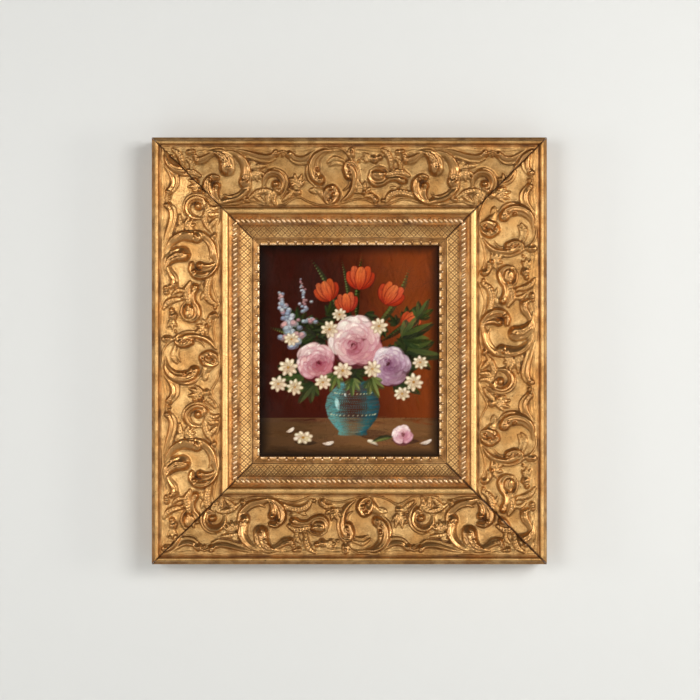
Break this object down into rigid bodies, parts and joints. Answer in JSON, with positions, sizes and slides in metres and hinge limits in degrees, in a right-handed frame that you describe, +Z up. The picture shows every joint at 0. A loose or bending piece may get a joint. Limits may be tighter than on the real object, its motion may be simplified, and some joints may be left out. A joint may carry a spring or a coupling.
{
  "type": "framed oil painting",
  "caption": "Small oil painting on a wooden panel in a wide gilt frame with running scrollwork, mitred corners and a leaf-edged sight slip; hangs flat on a wall.",
  "frame": {"origin": "middle of the top rail's flat back, on the plane of the wall", "axes": "+Z up, +X to the right of someone facing the picture, +Y into the wall; the painted front faces -Y"},
  "size_m": [0.472, 0.05, 0.51],
  "materials": {
    "gilt_moulding": "aged water gilding over bole, dark in the recesses, raw wood behind",
    "gilt_slip": "aged water gilding, a little brighter than the frame",
    "painted_panel": "oil paint with low brush relief under an old satin varnish, bare wood behind"
  },
  "bodies": {
    "root": {"rail_top": "gilt_moulding", "rail_bottom": "gilt_moulding", "rail_left": "gilt_moulding", "rail_right": "gilt_moulding", "sight_slip_top": "gilt_slip", "sight_slip_bottom": "gilt_slip", "sight_slip_left": "gilt_slip", "sight_slip_right": "gilt_slip", "painting_panel": "painted_panel"}
  },
  "joints": []
}
